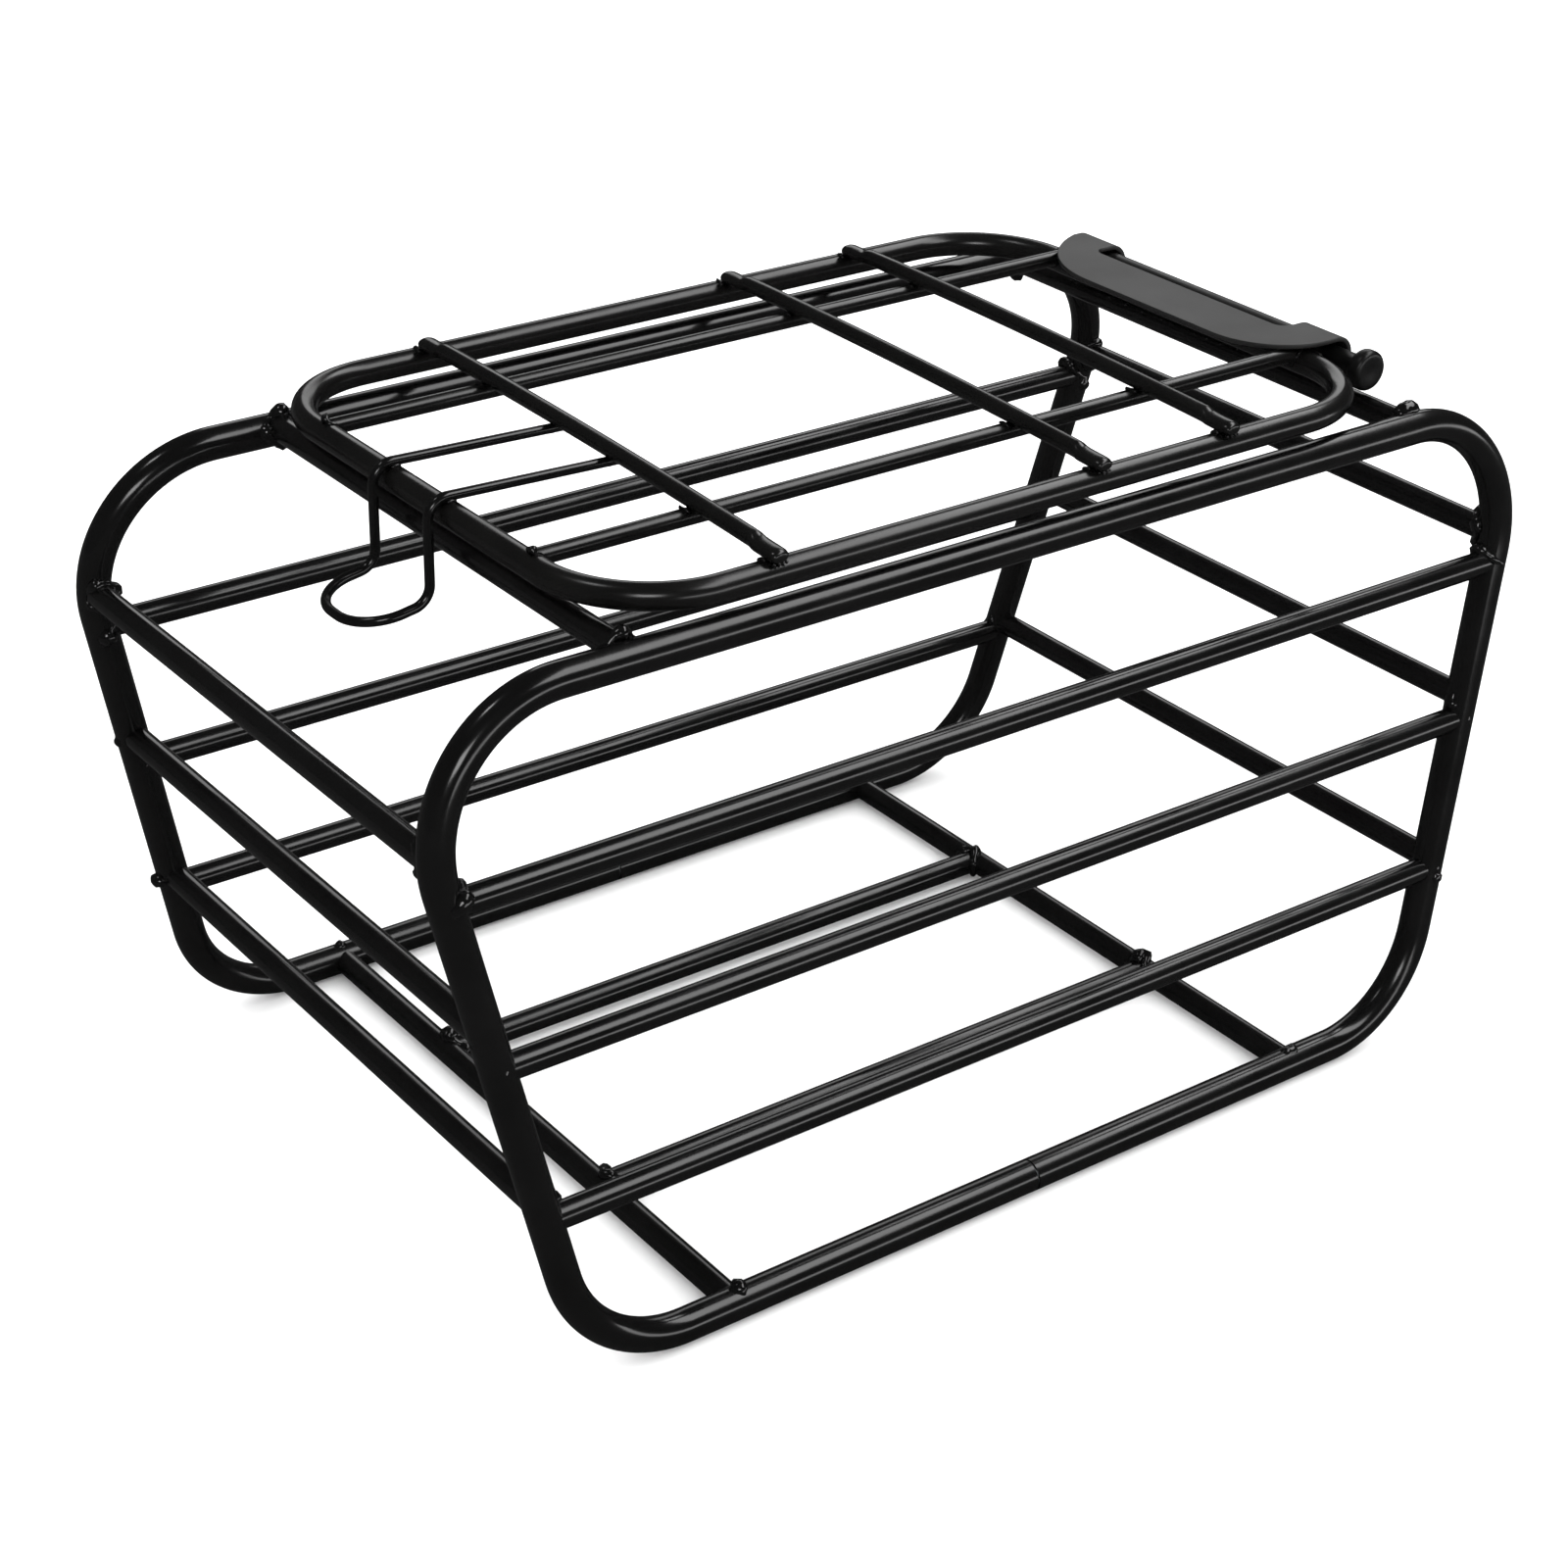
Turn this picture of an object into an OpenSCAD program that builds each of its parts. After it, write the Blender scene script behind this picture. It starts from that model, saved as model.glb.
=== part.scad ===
// Carrier basket of welded steel tube with a hinged tube lid and a spring wire latch.
// Millimetres, +Z up, origin under the middle of the basket at floor level.
// +X is the hinge end, -X the latch end, -Y the near side and +Y the far side.
// The near and far frames are mirror images that lean inwards towards the lid.

/* [Basket frame] */
// Length of a bottom run between the corner points of its tube centreline
bottom_len = 312; // [280:1:340]
// Length of a top run between the corner points of its tube centreline
top_len = 398; // [370:1:430]
// Height of the top runs above the bottom runs, centre to centre
rise = 198.5; // [175:0.5:235]
// Spacing of the two bottom runs, centre to centre
bottom_w = 223; // [200:1:250]
// Spacing of the two top runs, centre to centre
top_w = 184; // [176:1:215]
// Outside diameter of the frame tube
tube_d = 10; // [9:0.1:11]
// Wall of the frame tube
tube_wall = 1.2; // [0.9:0.1:1.6]
// Centreline radius of the four bends of a side frame
bend_r = 39; // [32:1:44]
// Width of the joint groove where the tube ends meet under each side
seam_gap = 0.7; // [0.3:0.1:1.2]
// Length of the plug that joins the two tube ends
spigot_len = 60; // [40:1:80]

/* [Rods] */
// Outside diameter of the rods and cross tubes welded between the frames
rod_d = 7.8; // [6.8:0.1:8.4]
// Wall of the rods and cross tubes
rod_wall = 1; // [0.8:0.1:1.4]
// Height of the low side rods above the bottom run
side_low = 49.8; // [40:0.1:62]
// Height of the middle side rods above the bottom run
side_mid = 98.5; // [88:0.1:112]
// Height of the high side rods above the bottom run
side_high = 148; // [134:0.5:158]
// Height of the low rod across the latch end above the bottom run
latch_end_low = 54.7; // [44:0.1:66]
// Height of the middle rod across the latch end above the bottom run
latch_end_mid = 108.8; // [98:0.1:120]
// Height of the high rod across the latch end above the bottom run
latch_end_high = 160.2; // [148:0.1:165]
// Height of the low rod across the hinge end above the bottom run
hinge_end_low = 53; // [44:0.5:66]
// Height of the middle rod across the hinge end above the bottom run
hinge_end_mid = 105.4; // [96:0.1:120]
// Height of the high rod across the hinge end above the bottom run
hinge_end_high = 156.6; // [146:0.1:165]
// Distance of each bottom cross tube from the middle
bottom_cross_x = 107.7; // [90:0.1:116]
// Distance of each bottom rod from the middle
bottom_rod_y = 44; // [25:0.5:70]
// Height of the rim cross tube at the latch end above the top runs
rim_latch_lift = 1.7; // [0.5:0.1:3]
// Height of the rim cross tube at the hinge end above the top runs
rim_hinge_lift = 0.4; // [0:0.1:1.4]
// Distance that the latch-end rim tube stands inside the lid's end tube
rim_inset = 3.4; // [1:0.1:5]

/* [Lid] */
// Height of the lid loop above the top runs, centre to centre
lid_lift = 11.8; // [11.5:0.1:13.5]
// Width of the lid loop between its side centrelines
lid_w = 181.6; // [170:0.1:190]
// Distance of the loop's latch end behind the middle
lid_latch_x = 134.4; // [120:0.1:145]
// Outside diameter of the lid loop tube
lid_tube_d = 7.7; // [7:0.1:8.3]
// Wall of the lid loop tube
lid_wall = 1; // [0.8:0.1:1.4]
// Centreline radius of the lid loop corners
lid_corner_r = 33; // [25:1:38]
// Diameter of the solid lid rods
lid_rod_d = 5; // [4:0.1:5.6]
// Place of the latch-end lid cross rod along the basket
lid_cross_latch_x = -83; // [-96:0.5:-60]
// Place of the middle lid cross rod along the basket
lid_cross_mid_x = 27; // [0:0.5:50]
// Place of the hinge-end lid cross rod along the basket
lid_cross_hinge_x = 75; // [62:0.5:90]
// Height that the middle of a lid cross rod is bowed up by
lid_crown = 1.2; // [0.4:0.1:1.4]
// Distance that the lid cross rods lie off centre, towards the near side
lid_cross_off = 2.4; // [0:0.1:3]
// Distance that a cross rod's far end lies ahead of its middle
lid_skew = 2.2; // [0:0.1:4]
// Distance of each long lid rod from the middle
lid_rod_y = 53.5; // [30:0.5:56]
// Depth that welded pieces sink into each other
weld_sink = 0.4; // [0.2:0.05:0.6]

/* [Hinge] */
// Place of the hinge axis along the basket
hinge_x = 150; // [146:0.5:153]
// Distance from the hinge axis back to the loop's end tube
hinge_setback = 11; // [10.5:0.1:14]
// Thickness of the hinge bracket sheet
plate_t = 1.5; // [1.2:0.1:1.8]
// Distance from the hinge axis back to the straight edge of the bracket
plate_reach = 29; // [26:0.5:32]
// Half the length of the bracket over its two ears
plate_half = 59; // [52:0.5:62]
// Distance from the middle at which the bracket's near shoulder starts
shoulder_near = 34.5; // [28:0.5:37]
// Distance from the middle at which the bracket's far shoulder starts
shoulder_far = 22; // [14:0.5:37]
// Length of each rolled ear
ear_len = 16; // [12:0.5:18]
// Distance from the hinge axis back to the edge between the ears
recess_reach = 8; // [7:0.5:10]
// Length of the pin's neck between the ear and its head
neck_len = 10; // [7:0.5:12]
// Diameter of the pin's mushroom head
head_d = 12.5; // [11:0.1:14]
// Thickness of the pin's head
head_t = 4.6; // [3.5:0.1:6]
// Wall of the sleeve that holds the pin
sleeve_wall = 0.8; // [0.7:0.05:0.9]

/* [Latch] */
// Diameter of the latch wire
latch_d = 2.9; // [2.4:0.1:3.4]
// Spacing of the two latch legs
latch_w = 29; // [24:0.5:31]
// Sideways place of the latch's middle line
latch_y = 1.5; // [-10:0.5:10]
// Height of the two latch legs between their bends
latch_drop = 29.3; // [26:0.1:34]
// Distance that the latch legs stand off the lid's end tube
latch_stand = 2.8; // [2.5:0.1:5]
// Outward reach of the finger tab
tab_reach = 21.2; // [20.4:0.1:26]
// Downward slope of the finger tab over its reach
tab_fall = 3.6; // [1:0.1:8]

/* [Hidden] */
tube_sides = 48;
$fn = tube_sides;
bend_steps = 12;             // a bend has at least this many steps, however slight
pin_clear = 0.08;            // radial running clearance of an ear on the pin
axial_play = 0.4;            // end play of each ear along the pin
draw_in = 0.03;              // a tube draws in by this much where it is bent
wire_sink = 0.14;            // depth that the latch wire is melted into the lid
lap = 0.2;                   // a straight runs this far into the bend after it
tube_r = tube_d / 2;
rod_r = rod_d / 2;
lid_r = lid_tube_d / 2;
lid_rod_r = lid_rod_d / 2;
latch_r = latch_d / 2;
floor_z = tube_r;            // height of the bottom runs
top_z = floor_z + rise;      // height of the top runs

// side frame, described in its own leaning plane
lean_in = (bottom_w - top_w) / 2;
slant = sqrt(rise * rise + lean_in * lean_in);
flare = (top_len - bottom_len) / 2;
leg_angle = atan2(slant, flare);
top_tangent = bend_r * tan((180 - leg_angle) / 2);
top_bend_x = top_len / 2 - top_tangent;
top_bend_h = slant - bend_r;
top_bend_start = slant - bend_r - bend_r * cos(leg_angle);

// lid heights, stacked from the loop outwards
lid_z = top_z + lid_lift;
lid_cross_z = lid_z + lid_r + lid_rod_r - weld_sink;
lid_hinge_x = hinge_x - hinge_setback;
lid_cross_half = lid_w / 2 + 1.5;
crown_share = 0.9;           // the bow takes up this share of a cross rod
crown_corner = lid_crown / (1 - crown_share / 2);
crown_bend_r = crown_share * lid_cross_half * lid_cross_half / crown_corner;
function crown_at(y) = lid_crown - y * y / (2 * crown_bend_r);
lid_rod_z = lid_cross_z + crown_at(lid_rod_y) - 2 * lid_rod_r + weld_sink;

// hinge
plate_sink = 0.3;                           // weld sink of the bracket into the loop
ear_r = lid_r - plate_sink + plate_t;
pin_r = ear_r - plate_t - pin_clear;
sleeve_r = pin_r + sleeve_wall;
sleeve_half = plate_half - ear_len - axial_play;
neck_end = plate_half + neck_len;           // where the neck meets the head
ear_back = 2.5;                             // the shoulders end this far behind the axis
clip_t = 1.2;                               // thickness of the retaining clip
clip_w = 1.2;                               // how far the clip stands out round the pin
groove_depth = 0.6;
clip_seat = plate_half + axial_play;
web_w = 4;                                  // width of the web under the sleeve
rim_hinge_z = top_z + rim_hinge_lift;
rim_latch_z = top_z + rim_latch_lift;
rim_latch_x = lid_latch_x - rim_inset;
rim_half = top_w / 2 - 0.3 * tube_d;        // the rim tubes end inside the top runs

// latch wire in the vertical plane of one leg
leg_off = max(abs(latch_y - latch_w / 2), abs(latch_y + latch_w / 2));
latch_root = [lid_cross_latch_x + lid_rod_r + 1,
              lid_cross_z + crown_at(leg_off) - lid_rod_r - latch_r + wire_sink];
latch_slope = (lid_z + lid_r + latch_r - wire_sink - latch_root.y) / (lid_latch_x + latch_root.x);
latch_bend_r = 6;
tab_bend_r = 6;
tab_corner_r = latch_w / 2 - 1.5;           // the tab ends in nearly a half circle
latch_top_x = -(lid_latch_x + lid_r + latch_stand);
latch_top = [latch_top_x, latch_root.y + (latch_root.x - latch_top_x) * latch_slope];
latch_foot = [latch_top_x, latch_top.y - latch_drop];
tab_end = latch_foot - [tab_reach, tab_fall];

// ---------- tube building ----------

function unit(v) = v / norm(v);
function turn_at(a, p, b) = 180 - acos(unit(a - p) * unit(b - p));
// distance from corner i back to where the straight beside it ends
function trim_at(pts, i, r) =
  (i == 0 || i == len(pts) - 1) ? 0 : r[i] * tan(turn_at(pts[i - 1], pts[i], pts[i + 1]) / 2) - lap;

// round bar between two points
module bar(p, q, r) {
  v = q - p;
  translate(p) rotate([0, acos(v.z / norm(v)), atan2(v.y, v.x)]) cylinder(r = r, h = norm(v));
}

// round bar bent about the corner p between the directions of a and b
module bend(a, p, b, bend_radius, r) {
  back = unit(a - p);
  ahead = unit(b - p);
  inward = unit(ahead - (ahead * back) * back);
  turn = turn_at(a, p, b);
  c = p + back * bend_radius * tan(turn / 2) + inward * bend_radius;
  x = -inward;
  y = -back;
  z = cross(x, y);
  multmatrix([[x.x, y.x, z.x, c.x], [x.y, y.y, z.y, c.y], [x.z, y.z, z.z, c.z], [0, 0, 0, 1]])
    rotate_extrude(angle = turn, $fn = max(tube_sides, ceil(bend_steps * 360 / turn)))
      translate([bend_radius, 0]) circle(r = r - draw_in, $fn = tube_sides);
}

// round bar along a path of points with one bend radius per point
module bent_bar(pts, radii, r) {
  for (i = [0:len(pts) - 2]) {
    d = unit(pts[i + 1] - pts[i]);
    bar(pts[i] + d * trim_at(pts, i, radii), pts[i + 1] - d * trim_at(pts, i + 1, radii), r);
  }
  for (i = [1:len(pts) - 2]) bend(pts[i - 1], pts[i], pts[i + 1], radii[i], r);
}

// ---------- side frames and their rods ----------

// a point of the near frame, u along the basket and h up its leaning plane
function on_frame(u, h) =
  [u, -bottom_w / 2 + h * lean_in / slant, floor_z + h * rise / slant];

// centre of the hinge-end leg at height h up the leaning plane
function leg_x(h) =
  h < top_bend_start ? bottom_len / 2 + h / tan(leg_angle)
                     : top_bend_x + sqrt(bend_r * bend_r - pow(h - top_bend_h, 2));

frame_path = [on_frame(seam_gap / 2, 0), on_frame(bottom_len / 2, 0),
              on_frame(top_len / 2, slant), on_frame(-top_len / 2, slant),
              on_frame(-bottom_len / 2, 0), on_frame(-seam_gap / 2, 0)];

module frame_bar(r) {
  bent_bar(frame_path, [0, bend_r, bend_r, bend_r, bend_r, 0], r);
}

module frame_bars(r) {
  frame_bar(r);
  mirror([0, 1, 0]) frame_bar(r);
}

module side_frame() {
  color("black") difference() {
    frame_bar(tube_r);
    frame_bar(tube_r - tube_wall);
  }
}

// plug inside the two tube ends, with a raised ring filling the foot of the groove
module seam_spigot() {
  color("dimgray") union() {
    bar(on_frame(-spigot_len / 2, 0), on_frame(spigot_len / 2, 0), tube_r - tube_wall);
    bar(on_frame(-seam_gap / 2, 0), on_frame(seam_gap / 2, 0), tube_r - groove_depth);
  }
}

// hollow rod between two points
module hollow_bar(p, q) {
  difference() {
    bar(p, q, rod_r);
    bar(p, q, rod_r - rod_wall);
  }
}

module side_rod(z) {
  h = z * slant / rise;
  color("black") difference() {
    hollow_bar(on_frame(-leg_x(h), h), on_frame(leg_x(h), h));
    frame_bar(tube_r);
  }
}

module end_rod(z, side) {
  h = z * slant / rise;
  p = on_frame(side * leg_x(h), h);
  color("black") difference() {
    hollow_bar(p, [p.x, -p.y, p.z]);
    frame_bars(tube_r);
  }
}

// ---------- bottom and rim ----------

module bottom_cross(side) {
  p = on_frame(side * bottom_cross_x, 0);
  color("black") difference() {
    hollow_bar(p, [p.x, -p.y, p.z]);
    frame_bars(tube_r);
  }
}

module bottom_rod(side) {
  y = side * bottom_rod_y;
  color("black") difference() {
    hollow_bar([-bottom_cross_x, y, floor_z], [bottom_cross_x, y, floor_z]);
    for (s = [-1, 1])
      bar([s * bottom_cross_x, y - rod_d, floor_z], [s * bottom_cross_x, y + rod_d, floor_z], rod_r);
  }
}

module rim_cross(x, z) {
  color("black") difference() {
    hollow_bar([x, -rim_half, z], [x, rim_half, z]);
    frame_bars(tube_r);
  }
}

// ---------- hinge, basket side ----------

// sleeve standing on the rim cross tube by a web of weld
module hinge_sleeve() {
  color("dimgray") difference() {
    union() {
      bar([hinge_x, -sleeve_half, lid_z], [hinge_x, sleeve_half, lid_z], sleeve_r);
      translate([hinge_x - web_w / 2, -sleeve_half + 1, rim_hinge_z])
        cube([web_w, 2 * sleeve_half - 2, lid_z - rim_hinge_z]);
    }
    bar([hinge_x, -plate_half, lid_z], [hinge_x, plate_half, lid_z], pin_r);
    bar([hinge_x, -plate_half, rim_hinge_z], [hinge_x, plate_half, rim_hinge_z], rod_r);
  }
}

// headed pin with a groove for its clip at the far end
module hinge_pin() {
  flare = 1.5;
  rim = 0.6;
  tip = clip_seat + clip_t + 2;
  color("black") translate([hinge_x, 0, lid_z]) rotate([90, 0, 0]) difference() {
    union() {
      translate([0, 0, -tip]) cylinder(r = pin_r, h = tip + neck_end);
      translate([0, 0, neck_end - flare]) cylinder(r1 = pin_r, r2 = head_d / 2 - rim, h = flare);
      translate([0, 0, neck_end]) cylinder(r = head_d / 2, h = head_t - 1);
      translate([0, 0, neck_end + head_t - 1])
        cylinder(r1 = head_d / 2, r2 = head_d / 2 - 1, h = 1);
    }
    translate([0, 0, -clip_seat - clip_t]) difference() {
      cylinder(r = pin_r + 1, h = clip_t);
      cylinder(r = pin_r - groove_depth, h = clip_t);
    }
  }
}

// open retaining clip in the groove of the pin
module pin_clip() {
  mouth = 1.2 * pin_r;
  color("dimgray") translate([hinge_x, clip_seat + clip_t, lid_z]) rotate([90, 0, 0])
    difference() {
      cylinder(r = pin_r + clip_w, h = clip_t);
      cylinder(r = pin_r - groove_depth, h = clip_t);
      translate([0, -mouth / 2, -clip_t]) cube([2 * pin_r, mouth, 3 * clip_t]);
    }
}

// ---------- lid ----------

lid_path = [[lid_hinge_x, 0, lid_z], [lid_hinge_x, -lid_w / 2, lid_z],
            [-lid_latch_x, -lid_w / 2, lid_z], [-lid_latch_x, lid_w / 2, lid_z],
            [lid_hinge_x, lid_w / 2, lid_z], [lid_hinge_x, 0, lid_z]];

module lid_bar(r) {
  bent_bar(lid_path, [0, lid_corner_r, lid_corner_r, lid_corner_r, lid_corner_r, 0], r);
}

module lid_loop() {
  color("black") difference() {
    lid_bar(lid_r);
    lid_bar(lid_r - lid_wall);
  }
}

// bowed bar of a cross rod, from one side tube of the loop to the other
module cross_bar(x) {
  translate([0, -lid_cross_off, 0])
    bent_bar([[x - lid_skew, -lid_cross_half, lid_cross_z], [x, 0, lid_cross_z + crown_corner],
              [x + lid_skew, lid_cross_half, lid_cross_z]], [0, crown_bend_r, 0], lid_rod_r);
}

// cross rod lying on the side tubes of the loop
module lid_cross(x) {
  color("black") difference() {
    cross_bar(x);
    lid_bar(lid_r);
  }
}

// long rod between the end tubes of the loop, seated in the cross rods above it
module lid_rod(side) {
  y = side * lid_rod_y;
  color("black") difference() {
    bar([-lid_latch_x, y, lid_rod_z], [lid_hinge_x, y, lid_rod_z], lid_rod_r);
    lid_bar(lid_r);
    for (x = [lid_cross_latch_x, lid_cross_mid_x, lid_cross_hinge_x]) cross_bar(x);
  }
}

// points of an arc, used for the outline of the bracket
function arc(c, r, a0, a1, n) = [for (i = [0:n]) c + r * [cos(a0 + (a1 - a0) * i / n),
                                                         sin(a0 + (a1 - a0) * i / n)]];

// half outline of the bracket, from its middle line round one shoulder and ear
function bracket_half(start) =
  let (fillet = 4, inner = plate_half - ear_len, depth = plate_reach - ear_back, along = plate_half - start,
       shoulder_r = (along * along + depth * depth) / (2 * depth))
  concat([[-plate_reach, 0]],
         arc([shoulder_r - plate_reach, start], shoulder_r, 180, 180 - 2 * atan(depth / along), 14),
         [[0, plate_half], [0, inner], [-recess_reach + fillet, inner]],
         arc([fillet - recess_reach, inner - fillet], fillet, 90, 180, 6),
         [[-recess_reach, 0]]);

// sheet bracket with two ears rolled round the pin
module hinge_bracket() {
  inner = plate_half - ear_len;
  tuck = 0.03;                // keeps the sheet's top just under the roll's crown
  over = 1;                   // how far the cutting bars run past the sheet
  lip = 1.2;                  // height of the open lip of each roll
  color("dimgray") translate([hinge_x, 0, lid_z]) difference() {
    union() {
      for (s = [0, 1]) mirror([0, s, 0]) {
        translate([0, 0, ear_r - plate_t]) linear_extrude(plate_t - tuck)
          polygon(bracket_half(s == 0 ? shoulder_far : shoulder_near));
        bar([0, inner, 0], [0, plate_half, 0], ear_r);
      }
    }
    bar([0, -plate_half - over, 0], [0, plate_half + over, 0], ear_r - plate_t);
    // the open lip of each roll, underneath
    translate([-ear_r, -plate_half - over, -lip - 0.2]) cube([ear_r - pin_r, 2 * plate_half + 2 * over, lip]);
    bar([-hinge_setback, -plate_half - over, 0], [-hinge_setback, plate_half + over, 0], lid_r);
    for (s = [-1, 1])
      translate([0, s * lid_rod_y, lid_rod_z - lid_z])
        bar([-plate_reach - over, 0, 0], [-hinge_setback, 0, 0], lid_rod_r);
  }
}

// one leg of the latch wire lies in the plane y, from its root to the finger tab and back
module latch_wire() {
  near_y = latch_y - latch_w / 2;
  far_y = latch_y + latch_w / 2;
  leg = [latch_root, latch_top, latch_foot, tab_end];
  path = concat([for (p = leg) [p.x, near_y, p.y]], [for (i = [3:-1:0]) [leg[i].x, far_y, leg[i].y]]);
  radii = [0, latch_bend_r, tab_bend_r, tab_corner_r, tab_corner_r, tab_bend_r, latch_bend_r, 0];
  color("black") difference() {
    bent_bar(path, radii, latch_r);
    cross_bar(lid_cross_latch_x);
    bar([-lid_latch_x, near_y - latch_d, lid_z], [-lid_latch_x, far_y + latch_d, lid_z], lid_r);
  }
}

// ---------- assembly ----------

side_frame();  // near_side_frame
mirror([0, 1, 0]) side_frame();  // far_side_frame
seam_spigot();  // near_seam_spigot
mirror([0, 1, 0]) seam_spigot();  // far_seam_spigot
side_rod(side_low);  // near_rod_low
side_rod(side_mid);  // near_rod_mid
side_rod(side_high);  // near_rod_high
mirror([0, 1, 0]) side_rod(side_low);  // far_rod_low
mirror([0, 1, 0]) side_rod(side_mid);  // far_rod_mid
mirror([0, 1, 0]) side_rod(side_high);  // far_rod_high
end_rod(latch_end_low, -1);  // latch_end_rod_low
end_rod(latch_end_mid, -1);  // latch_end_rod_mid
end_rod(latch_end_high, -1);  // latch_end_rod_high
end_rod(hinge_end_low, 1);  // hinge_end_rod_low
end_rod(hinge_end_mid, 1);  // hinge_end_rod_mid
end_rod(hinge_end_high, 1);  // hinge_end_rod_high
bottom_cross(-1);  // bottom_cross_latch
bottom_cross(1);  // bottom_cross_hinge
bottom_rod(-1);  // bottom_rod_near
bottom_rod(1);  // bottom_rod_far
rim_cross(-rim_latch_x, rim_latch_z);  // rim_cross_latch
rim_cross(hinge_x, rim_hinge_z);  // rim_cross_hinge
hinge_sleeve();
hinge_pin();
pin_clip();
lid_loop();
lid_cross(lid_cross_latch_x);  // lid_cross_latch
lid_cross(lid_cross_mid_x);  // lid_cross_mid
lid_cross(lid_cross_hinge_x);  // lid_cross_hinge
lid_rod(-1);  // lid_rod_near
lid_rod(1);  // lid_rod_far
hinge_bracket();
latch_wire();
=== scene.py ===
import math
import random

import bmesh
import bpy
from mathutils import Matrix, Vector
from mathutils.geometry import intersect_point_line


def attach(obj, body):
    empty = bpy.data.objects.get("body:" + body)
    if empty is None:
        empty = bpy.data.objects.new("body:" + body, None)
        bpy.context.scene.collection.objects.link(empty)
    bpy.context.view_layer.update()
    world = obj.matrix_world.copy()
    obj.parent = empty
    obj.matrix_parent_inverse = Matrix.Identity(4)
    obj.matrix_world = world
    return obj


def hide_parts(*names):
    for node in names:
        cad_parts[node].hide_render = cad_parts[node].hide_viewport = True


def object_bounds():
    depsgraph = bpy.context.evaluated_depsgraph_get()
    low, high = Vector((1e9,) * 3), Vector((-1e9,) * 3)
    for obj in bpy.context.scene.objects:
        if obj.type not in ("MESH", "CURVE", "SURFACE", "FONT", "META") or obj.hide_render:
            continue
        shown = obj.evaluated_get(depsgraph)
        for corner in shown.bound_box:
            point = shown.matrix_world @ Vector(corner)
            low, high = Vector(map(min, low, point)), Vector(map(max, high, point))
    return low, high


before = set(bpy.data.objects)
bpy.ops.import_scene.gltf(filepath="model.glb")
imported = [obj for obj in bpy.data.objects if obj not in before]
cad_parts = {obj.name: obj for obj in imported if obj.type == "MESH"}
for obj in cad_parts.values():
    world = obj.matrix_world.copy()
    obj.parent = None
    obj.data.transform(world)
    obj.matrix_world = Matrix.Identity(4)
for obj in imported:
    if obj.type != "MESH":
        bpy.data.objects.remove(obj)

cad_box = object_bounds()
chance = random.Random(7)
MM = 0.001

# ---------- sizes of the basket, in millimetres ----------

TUBE_R, ROD_R = 5.0, 3.9                # frame tubes, and the rods between them
LID_R, LID_ROD_R, WIRE_R = 3.85, 2.5, 1.45
WELD_SINK, WIRE_SINK = 0.4, 0.14        # how deep a rod and the latch wire are melted into what they lie on

# side frames, as corner points of their centrelines
BOTTOM_X, TOP_X = 156.0, 199.0
BOTTOM_Y, TOP_Y = 111.5, 92.0           # they lean in towards the lid
FLOOR_Z, RISE, BEND_R = 5.0, 198.5, 39.0
SEAM = 0.7                              # groove where the two tube ends meet
LEAN_IN = BOTTOM_Y - TOP_Y
SLANT = math.hypot(RISE, LEAN_IN)
LEG = math.atan2(SLANT, TOP_X - BOTTOM_X)

# heights of the rods above the bottom runs, low, mid and high
SIDE_LEVELS = (49.8, 98.5, 148.0)
LATCH_END_LEVELS = (54.7, 108.8, 160.2)
HINGE_END_LEVELS = (53.0, 105.4, 156.6)
BOTTOM_CROSS_X, BOTTOM_ROD_Y = 107.7, 44.0
RIM_HALF = 89.0                         # the rim tubes end inside the top runs

# lid
LID_Z = FLOOR_Z + RISE + 11.8
LID_Y, LID_LATCH_X, LID_HINGE_X, LID_CORNER = 90.8, -134.4, 139.0, 33.0
LID_CROSS_X = {"latch": -83.0, "mid": 27.0, "hinge": 75.0}
LID_ROD_Y = 53.5
LID_CROSS_Z = LID_Z + LID_R + LID_ROD_R - WELD_SINK
CROSS_HALF = LID_Y + 1.5
CROSS_OFF, CROSS_SKEW, CROWN = 2.4, 2.2, 1.2   # the cross rods lie off the middle, skewed, and bow up
LID_ROD_Z = LID_CROSS_Z + CROWN * (1 - (LID_ROD_Y / CROSS_HALF) ** 2) - 2 * LID_ROD_R + WELD_SINK
RIM_HINGE_Z = FLOOR_Z + RISE + 0.4
RIM_LATCH_Z = FLOOR_Z + RISE + 1.7
RIM_LATCH_X = LID_LATCH_X + 3.4

# hinge, measured from its axis
HINGE_X, SHEET, REACH = 150.0, 1.5, 29.0
EAR_END, EAR_IN, RECESS = 59.0, 43.0, 8.0   # the ears' outer and inner ends, and the notch between them
SHOULDER_NEAR, SHOULDER_FAR = 34.5, 22.0    # where the bracket's two shoulders start
SHOULDER_DEPTH = REACH - 2.5
EAR_R = LID_R - 0.3 + SHEET
PIN_R = EAR_R - SHEET - 0.08
SLEEVE_R = PIN_R + 0.8
PLAY = 0.4                              # end play of an ear along the pin
NECK, CLIP_T, GROOVE = 10.0, 1.2, 0.6

# latch wire
LATCH_NEAR_Y, LATCH_FAR_Y = -13.0, 16.0
LATCH_DROP, LATCH_STAND = 29.3, 2.8
TAB_REACH, TAB_FALL = 21.2, 3.6
LATCH_BENDS = [6, 6, 13, 13, 6, 6]
CROWN_AT_LATCH = CROWN * 0.97           # how far the cross rod has bowed up where the legs lie

# look of the welds
BEAD, RIM_BEAD, LID_BEAD = 2.1, 2.3, 1.0
BEAD_STEPS = 40


# ---------- small helpers ----------

def linear(hex_colour):
    """sRGB hex to a linear colour with full alpha."""
    raw = [int(hex_colour[i:i + 2], 16) / 255 for i in (1, 3, 5)]
    return [c / 12.92 if c <= 0.04045 else ((c + 0.055) / 1.055) ** 2.4 for c in raw] + [1.0]


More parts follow.
